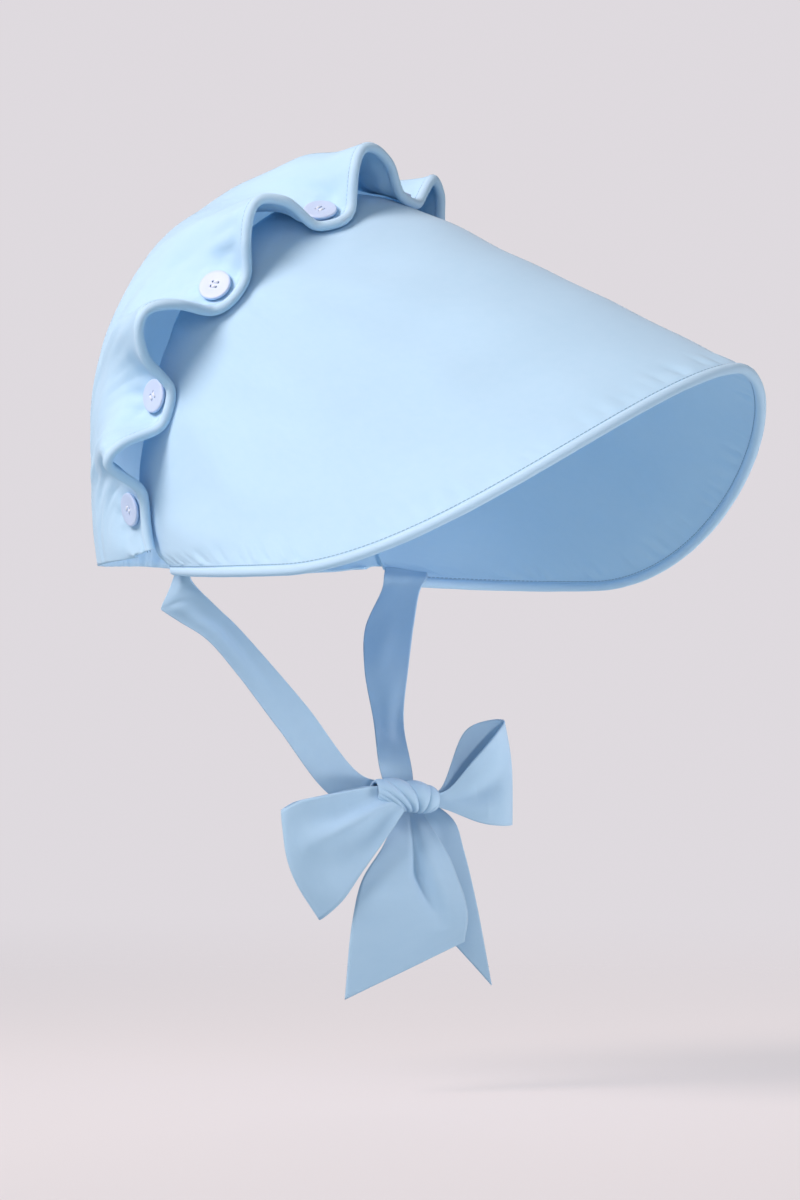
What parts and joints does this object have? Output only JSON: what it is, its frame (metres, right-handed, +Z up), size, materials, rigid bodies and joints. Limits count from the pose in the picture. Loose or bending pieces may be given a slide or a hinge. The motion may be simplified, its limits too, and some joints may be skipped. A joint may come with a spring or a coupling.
{
  "type": "sun bonnet",
  "caption": "Cloth sun bonnet with a deep pointed brim, a ruffled crown buttoned over the brim's back edge, piped edges and ties knotted in a bow.",
  "frame": {"origin": "where the top of the wearer's head meets the inside of the crown", "axes": "+Z up, the brim opens toward -Y, the wearer's right side is -X"},
  "size_m": [0.2842, 0.3677, 0.4309],
  "materials": {
    "cloth": "matte cotton",
    "piping": "matte cotton",
    "tie": "matte cotton",
    "button": "satin"
  },
  "bodies": {
    "root": {"brim": "cloth", "brim_piping": "piping", "crown": "cloth", "crown_piping": "piping", "button_1": "button", "button_2": "button", "button_3": "button", "button_4": "button", "button_5": "button", "button_6": "button", "button_7": "button", "button_8": "button", "button_9": "button", "tie_right": "tie", "tie_left": "tie", "bow_loop_right": "tie", "bow_loop_left": "tie", "bow_knot": "tie"}
  },
  "joints": []
}
